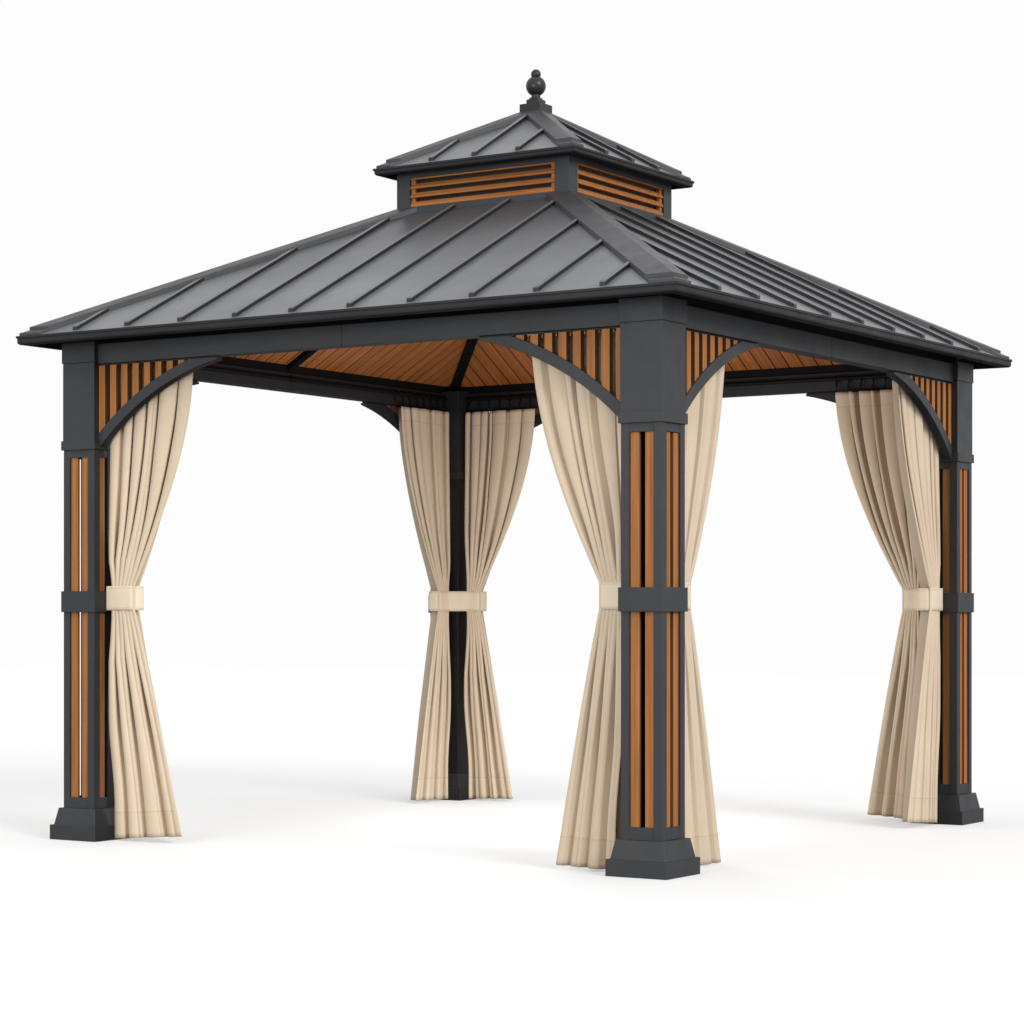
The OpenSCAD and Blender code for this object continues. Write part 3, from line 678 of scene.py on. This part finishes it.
def fold_row(width, depth, shares, lips, calm, slant, deep, step, open_part):
    """Plan of a row of broad panels with slanted folds tucked in between them.

    A calm fold is a soft shallow valley, and the others are deep and crisp. A step sets the next
    panel further out or in. The last list gives how much painted shade each point gets in its fold.
    """
    turns, lengths, panels, fold_shades = [], [], [], [0.0]
    lips = lips * np.concatenate([[1], 1 - CALM_LIP * calm, [1]])
    deep = deep * (1 - CALM_DEPTH * calm)

    def run(angles, length, panel, fold_shade):
        steps = len(angles)
        turns.extend(angles)
        lengths.extend([length / steps] * steps)
        panels.extend([panel / steps] * steps)
        fold_shades.extend(np.linspace(*fold_shade, steps + 1)[1:])

    def arc(start, end, steps, radius, fold_shade):
        angles = start + (end - start) * (np.arange(steps) + 0.5) / steps
        run(angles, radius * abs(end - start), 0.0, fold_shade)

    def wall(angle, height, fold_shade):
        length = max(height / abs(math.sin(angle)), LEAST_WALL)
        run(np.full(WALL_STEPS, angle), length, 0.0, fold_shade)

    for k, share in enumerate(shares):
        at = (np.arange(PANEL_STEPS) + 0.5) / PANEL_STEPS
        run(lips[k] - (lips[k] + lips[k + 1]) * at, 0.0, share, (0.0, 0.0))
        if k == FOLDS:
            break
        lip, dark = lips[k + 1], 1 - calm[k]
        drop = FOLD_DEPTH * depth * deep[k]
        climb = drop * (1 + step[k] * dark * open_part)
        steep = STEEPEST * deep[k] ** STEEP_POWER
        go, back = steep + slant[k] * deep[k], steep - slant[k] * deep[k]
        middle = (back - go) / 2
        mouth = min((MOUTH_R + MOUTH_GROWTH * open_part) * (1 + calm[k]), RADIUS_SHARE * drop)
        bottom = min(BOTTOM_R + BOTTOM_GROWTH * open_part, RADIUS_SHARE * drop)

        def wall_height(whole, slope):
            mouth_h = mouth * (math.cos(lip) - math.cos(slope))
            return whole - mouth_h - bottom * (1 - math.cos(slope))

        # Painted shade along each fold, darkest just inside its mouth
        low = WALL_FOLD_SHADE * dark
        arc(-lip, -go, TURN_STEPS, mouth, (0.0, dark))
        wall(-go, wall_height(drop, go), (dark, low))
        arc(-go, middle, CURL_STEPS // 2, bottom, (low, 0.0))
        arc(middle, back, CURL_STEPS // 2, bottom, (0.0, low))
        wall(back, wall_height(climb, back), (low, dark))
        arc(back, lip, TURN_STEPS, mouth, (dark, 0.0))
    turns, lengths, panels = map(np.array, (turns, lengths, panels))
    grow = (width - np.sum(lengths * np.cos(turns))) / np.sum(panels * np.cos(turns))
    lengths = lengths + max(grow, LEAST_PANEL) * panels
    x = np.concatenate([[0], np.cumsum(lengths * np.cos(turns))])
    y = np.concatenate([[0], np.cumsum(lengths * np.sin(turns))])
    x = (x - x.min()) * width / (x.max() - x.min())
    y = y - np.linspace(0, 1, len(y)) * y[-1]
    return x, depth * ((y - y.min()) / (y.max() - y.min()) - 0.5), np.array(fold_shades)


def curtain_rows():
    """Heights of a curtain's rows of points, from its heading to its hem."""
    rows = [HEADER_Z]
    zones = (
        (HEADER_Z - ZONE, 9), (TIE_TOP + ZONE, 24), (TIE_Z - ZONE, 26),
        (HEM_Z + HEM_ZONE, 20), (HEM_Z, 8)
    )
    for z, count in zones:
        rows += list(np.linspace(rows[-1], z, count))[1:]
    for line in (HEADER_Z - HEAD_STITCH, HEM_Z + HEM_STITCH):
        rows = [z for z in rows if abs(z - line) > STITCH_CLEAR]
        rows += [line - STITCH_ROW, line, line + STITCH_ROW]
    return sorted(rows, reverse=True)


def alternating(rng, first, second):
    """One value for each fold, in turns, starting with either by chance."""
    return np.resize([first, second], FOLDS + 1)[int(rng.integers(2)):][:FOLDS]


def make_curtain(side, mirror, material, seed):
    rng = np.random.default_rng(seed)
    end = ENDS[side][1 if mirror else 0]
    header_w, waist_w, hem_w, rise = curtain_shape(side, end)
    bulge = rng.uniform(*BULGE)
    top_shares = rng.permutation(TOP_SHARES)
    low_shares = rng.permutation(LOW_SHARES)
    lips = np.radians(rng.uniform(*LIP_DEG, FOLDS + 2))
    step = alternating(rng, -STEP, STEP) * rng.uniform(*STEP_RANGE, FOLDS)
    slant = -np.radians(rng.uniform(*SLANT_DEG, FOLDS))
    lively = rng.permutation(np.linspace(LEAST_LIVELY, 1.0, FOLDS))
    calm_low = alternating(rng, 1.0, 0.0)
    calm_top = calm_low * rng.permutation(np.resize(TOP_CALM, FOLDS))
    # The side of the cloth that shows in the photo has the deep folds
    face = -1 if side in ("front", "right") else 1
    rows = curtain_rows()
    points, stitches, fold_shades, uvs = [], [], [], []
    columns = (FOLDS + 1) * PANEL_STEPS + FOLDS * (2 * TURN_STEPS + 2 * WALL_STEPS + CURL_STEPS)
    u = np.arange(columns + 1) / columns
    fold = u * (FOLDS + PANEL_STEPS / (columns / FOLDS))
    for z in rows:
        above = float(np.clip((z - TIE_TOP) / (HEADER_Z - TIE_TOP), 0, 1))
        below = float(np.clip((TIE_Z - z) / (TIE_Z - HEM_Z), 0, 1))
        up = math.sin(math.pi * above) ** MID_POWER if 0 < above < 1 else 0.0
        down = float(eased(below * BELOW_RATE))
        deep = 1 - up * (1 - lively)
        calm = np.maximum(calm_top * float(eased(above * CALM_RATE)), calm_low * down)
        shares = 1 + float(eased(above * SHARE_RATE)) * (top_shares - 1) + down * (low_shares - 1)
        width = curtain_width(z, bulge, header_w, waist_w, hem_w)
        x, y, fold_shade = fold_row(
            width, curtain_depth(z), shares, lips, calm, slant, deep, step, max(above, below)
        )
        y = face * y
        drawn = float(eased((DRAW_Z - z) / DRAW_H))
        x = x - (CURTAIN_EDGE - BASE_EDGE) * (x / width) ** 3 * drawn
        height = z + (rise * (1 - x / width) - HEM_DROP) * below
        head = float(eased((z - HEADER_Z + HEAD_H) / HEAD_H))
        height -= HEAD_DIP * head * (0.5 - 0.5 * np.cos(2 * np.pi * fold))
        to_stitch = min(abs(z - HEADER_Z + HEAD_STITCH), abs(z - HEM_Z - HEM_STITCH))
        is_stitch = to_stitch < SAME_ROW
        if is_stitch:
            tangent = unit_tangents(np.stack([x, y], 1))
            x = x + STITCH_PULL * tangent[:, 1]
            y = y - STITCH_PULL * tangent[:, 0]
        points.append(np.stack([CURTAIN_EDGE - width + x, -CURTAIN_R + y, height], 1))
        stitches.append(np.full(len(u), 1.0 if is_stitch else 0.0))
        fold_shades.append(fold_shade)
        uvs.append(np.stack([u * CLOTH_W, np.full_like(u, HEADER_Z - z)], 1))
    points = turned(np.concatenate(points), side, mirror)
    obj = piece(
        f"curtain_{side}_{end}", points, grid_faces(len(rows), len(u), flip=mirror),
        material, (f"curtains_{side}",)
    )
    add_point_value(obj, "stitch", np.concatenate(stitches))
    add_point_value(obj, "fold_shade", np.concatenate(fold_shades))
    add_uv(obj, "cloth", np.concatenate(uvs))
    thicken(obj, CLOTH_T)


# Ties

TIE_T = 0.0024
TIE_POINTS, TIE_ROWS = 110, 15
CORNER_STEPS = 16
# Half the depth of a strap's path, its corner radius and its clearance at the waist
TIE_HALF, TIE_CORNER, TIE_CLEAR = 0.0432, 0.030, 0.0035
# How far the strap's two ends lie in from the face of the post's band
OUTER_END, INNER_END = 0.0008, 0.0022
# Along the front: where the strap leaves its straight inner run, and the first point of its bend
INNER_RUN, INNER_BEND = 1.385, 1.4
BEND_STEP = 0.003
# How far a tie's edges stay inside the CAD's edges
TIE_EDGE = 0.0005
# The strap lies off its path by the first value, and swells by the other two away from its ends
TIE_OFF, TIE_CUP, TIE_RIPPLE = 0.0012, 0.0016, 0.0006
# Share of a strap's length at each end that stays plain
PLAIN_END = 0.12


def tie_path(waist_w):
    """Plan of a strap: from the post's band round the waist to the post's inner corner."""
    left = CURTAIN_EDGE - waist_w - TIE_CLEAR
    outer, inner = -CURTAIN_R - TIE_HALF, -CURTAIN_R + TIE_HALF
    c = TIE_CORNER
    bend = [math.radians(90 * k / CORNER_STEPS) for k in range(CORNER_STEPS + 1)]
    path = [(BAND_FACE - OUTER_END, outer)]
    path += [(left + c - c * math.sin(a), outer + c - c * math.cos(a)) for a in bend]
    path += [(left + c - c * math.cos(a), inner - c + c * math.sin(a)) for a in bend]
    path += [(INNER_RUN, inner), (INNER_BEND, inner + BEND_STEP)]
    path.append((BAND_FACE - INNER_END, -BAND_FACE + INNER_END))
    return np.array(path)


def resample(path, count):
    """Points at even distances along a path, and its length."""
    gaps = np.linalg.norm(np.diff(path, axis=0), axis=1)
    at = np.concatenate([[0], np.cumsum(gaps)])
    where = np.linspace(0, at[-1], count)
    return np.stack([np.interp(where, at, path[:, k]) for k in range(path.shape[1])], 1), at[-1]


def make_tie(side, mirror, material, seed):
    rng = np.random.default_rng(seed)
    end = ENDS[side][1 if mirror else 0]
    waist_w = curtain_shape(side, end)[1]
    plan, length = resample(tie_path(waist_w), TIE_POINTS)
    tangent = unit_tangents(plan)
    outward = np.stack([tangent[:, 1], -tangent[:, 0]], 1)
    along = np.linspace(0, 1, TIE_POINTS)
    free = eased(np.minimum(along, 1 - along) / PLAIN_END)
    ripple = np.zeros(TIE_POINTS)
    for _ in range(4):
        height, waves, start = rng.uniform(0.2, 0.5), rng.uniform(2, 9), rng.uniform()
        ripple += height * np.sin(2 * np.pi * (waves * along + start))
    points, stitches, uvs = [], [], []
    for j in range(TIE_ROWS):
        v = j / (TIE_ROWS - 1)
        cup = TIE_CUP * (2 * v - 1) ** 4
        push = TIE_OFF + free * (cup + TIE_RIPPLE * ripple * math.cos(math.pi * v))
        z = TIE_Z + TIE_EDGE + (TIE_TOP - TIE_Z - 2 * TIE_EDGE) * v
        points.append(np.column_stack([plan + outward * push[:, None], np.full(TIE_POINTS, z)]))
        stitches.append(np.full(TIE_POINTS, 1.0 if j in (1, TIE_ROWS - 2) else 0.0))
        uvs.append(np.stack([along * length, np.full(TIE_POINTS, z)], 1))
    points = turned(np.concatenate(points), side, mirror)
    obj = piece(
        f"curtain_tie_{side}_{end}", points, grid_faces(TIE_ROWS, TIE_POINTS, flip=mirror),
        material, ("curtain_ties",)
    )
    add_point_value(obj, "stitch", np.concatenate(stitches))
    add_uv(obj, "cloth", np.concatenate(uvs))
    thicken(obj, TIE_T)


# Hooks

HOOKS = 8
FIRST_HOOK, HOOK_PITCH = 1.418, 0.07
RING_R, RING_WIRE, RING_SAG, RING_SWAY = 0.0165, 0.0018, 0.004, 0.004
# A stem starts this far under the rail's middle. It sways, leans out and bows as it goes down.
STEM_TOP, STEM_H, STEM_WIRE = 0.019, 0.062, 0.0020
STEM_SWAY, STEM_WAVES, STEM_LEAN, STEM_BOW = 0.005, 1.1, 0.010, 0.004
# The last two points of a hook, from its place on the rail and the top of the cloth
HOOK_TIP = (0.004, 0.014, -0.012), (0.006, 0.018, -0.002)
RING_STEPS, STEM_STEPS = 20, 16


def make_hooks(side, material):
    """Rings on the rail, and the hooks that go down into the heading of each curtain."""
    parts = []
    for sign in (1, -1):
        for k in range(HOOKS):
            x = sign * (FIRST_HOOK - HOOK_PITCH * k)
            ring, stem = [], []
            for s in range(RING_STEPS):
                a = 2 * math.pi * s / RING_STEPS
                ring.append((
                    x + RING_SWAY * math.sin(a + k), -ROD_AT + RING_R * math.cos(a),
                    ROD_Z - RING_SAG + RING_R * math.sin(a)
                ))
            for s in range(STEM_STEPS + 1):
                t = s / STEM_STEPS
                stem.append((
                    x + STEM_SWAY * math.sin(STEM_WAVES * 2 * math.pi * t + k),
                    -ROD_AT + STEM_LEAN * t + STEM_BOW * math.sin(math.pi * t),
                    ROD_Z - STEM_TOP - STEM_H * t
                ))
            stem += [(x + dx, -ROD_AT + dy, HEADER_Z + dz) for dx, dy, dz in HOOK_TIP]
            parts.append(tube(ring, RING_WIRE, closed=True))
            parts.append(tube(stem, STEM_WIRE))
    verts, faces = joined(parts)
    verts = turned(verts, side, False)
    piece(f"curtain_hooks_{side}", verts, faces, material)


# Ceiling boards

BOARD_PITCH, BOARD_GAP, BOARD_CHAMFER = 0.085, 0.0006, 0.0036
# How far the boards stay off the cupola, the wall plates, the hip lines and the plane above them
END_GAP, HIP_GAP, TOP_GAP = 0.0005, 0.0006, 0.0003


def one_board(middle, r_in, r_out):
    """A board of the front slope, cut along both hips.

    Its long faces are marked as grooves, all but the underside.
    """
    half = BOARD_PITCH / 2 - BOARD_GAP / 2
    left, right = middle - half, middle + half
    outline = [
        (left, 0.0), (right, 0.0),
        (right, -BOARD_T + BOARD_CHAMFER), (right - BOARD_CHAMFER, -BOARD_T),
        (left + BOARD_CHAMFER, -BOARD_T), (left, -BOARD_T + BOARD_CHAMFER)
    ]
    underside = 3
    board = bmesh.new()
    groove = board.faces.layers.float.new("groove")
    rings = []
    for r in (r_in, r_out):
        top = CEILING_TOP - CEILING_FALL * r - TOP_GAP
        rings.append([board.verts.new((x, -r, top + drop)) for x, drop in outline])
    board.faces.new(rings[0])
    board.faces.new(rings[1][::-1])
    for i in range(len(outline)):
        j = (i + 1) % len(outline)
        face = board.faces.new((rings[0][i], rings[1][i], rings[1][j], rings[0][j]))
        face[groove] = 0.0 if i == underside else 1.0
    for sign in (1, -1):
        cut = bmesh.ops.bisect_plane(
            board, geom=board.verts[:] + board.edges[:] + board.faces[:],
            plane_co=(0, -HIP_GAP, 0), plane_no=(sign, 1, 0), clear_outer=True
        )
        edges = [e for e in cut["geom_cut"] if isinstance(e, bmesh.types.BMEdge)]
        if edges:
            bmesh.ops.edgenet_fill(board, edges=edges)
    return board


def make_ceiling(side, material):
    """Boards that run up the slope, each with small chamfers that make the grooves."""
    rng = np.random.default_rng(CEILING_SEED + SIDES.index(side))
    r_in, r_out = CUP_R + END_GAP, PLATE_FACE - END_GAP
    mesh = bmesh.new()
    tint = mesh.verts.layers.float.new("tint")
    groove = mesh.faces.layers.float.new("groove")
    uv_layer = mesh.loops.layers.uv.new("boards")
    half_count = int(r_out / BOARD_PITCH) + 1
    for k in range(-half_count, half_count + 1):
        board = one_board(k * BOARD_PITCH, r_in, r_out)
        if board.faces:
            board_groove = board.faces.layers.float["groove"]
            tone, offset = rng.uniform(), rng.uniform(0, 5)
            known = {}
            for v in board.verts:
                known[v] = mesh.verts.new(v.co)
                known[v][tint] = tone
            for f in board.faces:
                face = mesh.faces.new([known[v] for v in f.verts])
                face[groove] = f[board_groove]
                for loop in face.loops:
                    loop[uv_layer].uv = (loop.vert.co.x + offset, loop.vert.co.y)
        board.free()
    bmesh.ops.recalc_face_normals(mesh, faces=mesh.faces)
    mesh.transform(Matrix.Rotation(math.radians(90 * SIDES.index(side)), 4, "Z"))
    data = bpy.data.meshes.new(f"ceiling_boards_{side}")
    mesh.to_mesh(data)
    mesh.free()
    data.materials.append(material)
    obj = bpy.data.objects.new(f"ceiling_boards_{side}", data)
    scene.collection.objects.link(obj)
    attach(obj, "root")
    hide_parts("ceiling")


# Finishes of the CAD nodes

# Width of the rounded edges
METAL_EDGE, BLOCK_EDGE, TRIM_EDGE, SLAT_EDGE, BLADE_EDGE = 0.0016, 0.0022, 0.0018, 0.0015, 0.0012
SHARP_EDGE = math.radians(35)
WELD_WITHIN = 0.00002


def dress(names, material, bevel=0.0):
    """Gives CAD nodes a material, and rounds their sharp edges."""
    for name in names:
        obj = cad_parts[name]
        if not obj.material_slots:
            obj.data.materials.append(material)
        for slot in obj.material_slots:
            slot.material = material
        if bevel:
            weld = obj.modifiers.new("weld", "WELD")
            weld.merge_threshold = WELD_WITHIN
            edges = obj.modifiers.new("edges", "BEVEL")
            edges.width = bevel
            edges.segments = 2
            edges.limit_method = "ANGLE"
            edges.angle_limit = SHARP_EDGE
            edges.harden_normals = True


def starting(*heads):
    return [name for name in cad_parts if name.startswith(heads)]


def dress_frame():
    metal = coated_metal("frame_coat", *COAT)
    beam_metal = coated_metal("beam_coat", *COAT, splice=BEAM_FACE)
    post_metal = coated_metal("post_coat", *COAT, shade_inside=CORE_FACE)
    cupola_metal = coated_metal("cupola_coat", *COAT, shade_inside=SCREEN_FACE)
    slats = wood_look("slat_wood", "Z", *SLAT_WOOD, shade_sides=0.5)
    bracket = wood_look("bracket_wood", "Z", *SLAT_WOOD, shade_above=BRACKET_TOP, shade_sides=0.8)
    louvres = wood_look("louvre_wood", "X", *LOUVRE_WOOD)
    dress(starting("post_frame"), post_metal, METAL_EDGE)
    dress(["cupola_frame"], cupola_metal, METAL_EDGE)
    dress(starting("beam_"), beam_metal, METAL_EDGE)
    dress(starting("braces_", "post_bands"), metal, METAL_EDGE)
    dress(["post_bases", "post_heads", "corner_caps"], metal, BLOCK_EDGE)
    dress(starting("post_slats"), slats, SLAT_EDGE)
    dress(starting("brace_slats"), bracket, SLAT_EDGE)
    dress(["cupola_louvres"], louvres, BLADE_EDGE)


def dress_roof():
    trim = coated_metal("trim_coat", *TRIM_COAT, (0.45, 0.6), shine=0.25)
    hip = coated_metal("hip_coat", *HIP_COAT, (0.36, 0.48))
    finial = coated_metal("finial_coat", *FINIAL_COAT, (0.30, 0.38))
    sheet_main = roof_sheet("sheet_main", MAIN_TOP, MAIN_FALL, MAIN_SHEET, (0.5, 1.5))
    sheet_cup = roof_sheet("sheet_cupola", CUP_TOP, CUP_FALL, CUPOLA_SHEET, (0.1, 0.5))
    dress(["eave_trim", "cupola_trim"], trim, TRIM_EDGE)
    dress(["hip_caps", "cupola_hip_caps"], hip, TRIM_EDGE)
    dress(starting("roof_panel"), sheet_main)
    dress(["cupola_roof"], sheet_cup)
    dress(["finial"], finial)


def dress_inside():
    # Painted shade: the parts under the roof get a near-black copy of the frame's coat
    inner = coated_metal("inner_shade_coat", *INNER_SHADE_COAT, (0.50, 0.62), shine=0.1)
    boards = board_wood("board_wood")
    curtain_cloth = cloth("curtain_weave", *CURTAIN_TONES)
    tie_cloth = cloth("tie_weave", *TIE_TONES)
    dress(["wall_plates", "rafters", "curtain_rails"], inner)
    for i, side in enumerate(SIDES):
        make_ceiling(side, boards)
        make_hooks(side, inner)
        for mirrored in (False, True):
            number = 2 * i + mirrored
            make_curtain(side, mirrored, curtain_cloth, CURTAIN_SEED + number)
            make_tie(side, mirrored, tie_cloth, TIE_SEED + number)


add_camera()
scene.view_settings.view_transform = "Standard"
add_world(seen=0.98, light=0.86)
add_light("key", "SUN", 1.9, (10, -3.5, 7), target=UNDER_BEAMS, size=math.radians(25))
add_light("fill", "AREA", 230, (0.5, -9.5, 3.0), target=MIDDLE, size=4.0)
add_light("room", "POINT", 60, MIDDLE, target=UNDER_BEAMS, size=0.5)

dress_frame()
dress_roof()
dress_inside()

corners = [(-FLOOR_R, -FLOOR_R), (FLOOR_R, -FLOOR_R), (FLOOR_R, FLOOR_R), (-FLOOR_R, FLOOR_R)]
floor = piece(
    "floor", [(x, y, FLOOR_Z) for x, y in corners], [(0, 1, 2, 3)],
    floor_paint("floor_paint"), smooth=False
)
